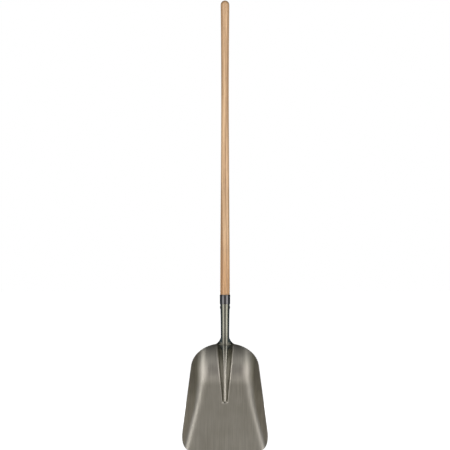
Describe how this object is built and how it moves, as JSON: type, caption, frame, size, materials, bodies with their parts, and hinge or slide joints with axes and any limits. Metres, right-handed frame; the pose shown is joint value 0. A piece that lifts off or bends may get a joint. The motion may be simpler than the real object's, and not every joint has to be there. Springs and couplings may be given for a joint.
{
  "type": "grain scoop shovel",
  "caption": "Long-handled grain scoop: a deep stamped steel pan with raised side walls, a hollow frog and a rolled socket, riveted to a straight wooden handle.",
  "frame": {"origin": "middle of the bounding box, at the height of the cutting edge", "axes": "+Z along the handle from the cutting edge to the grip end, X across the blade, the open face of the scoop towards -Y"},
  "size_m": [0.2896, 0.1126, 1.524],
  "materials": {
    "sheet_steel": "clear-lacquered raw steel, satin, faintly streaked along the blade",
    "handle_wood": "clear-lacquered straight-grained hardwood",
    "black_collar": "glossy black lacquer on a thin metal sleeve",
    "rivet_steel": "plain steel, lightly polished"
  },
  "bodies": {
    "root": {"scoop_head": "sheet_steel", "handle": "handle_wood", "collar": "black_collar", "rivet": "rivet_steel"}
  },
  "joints": []
}
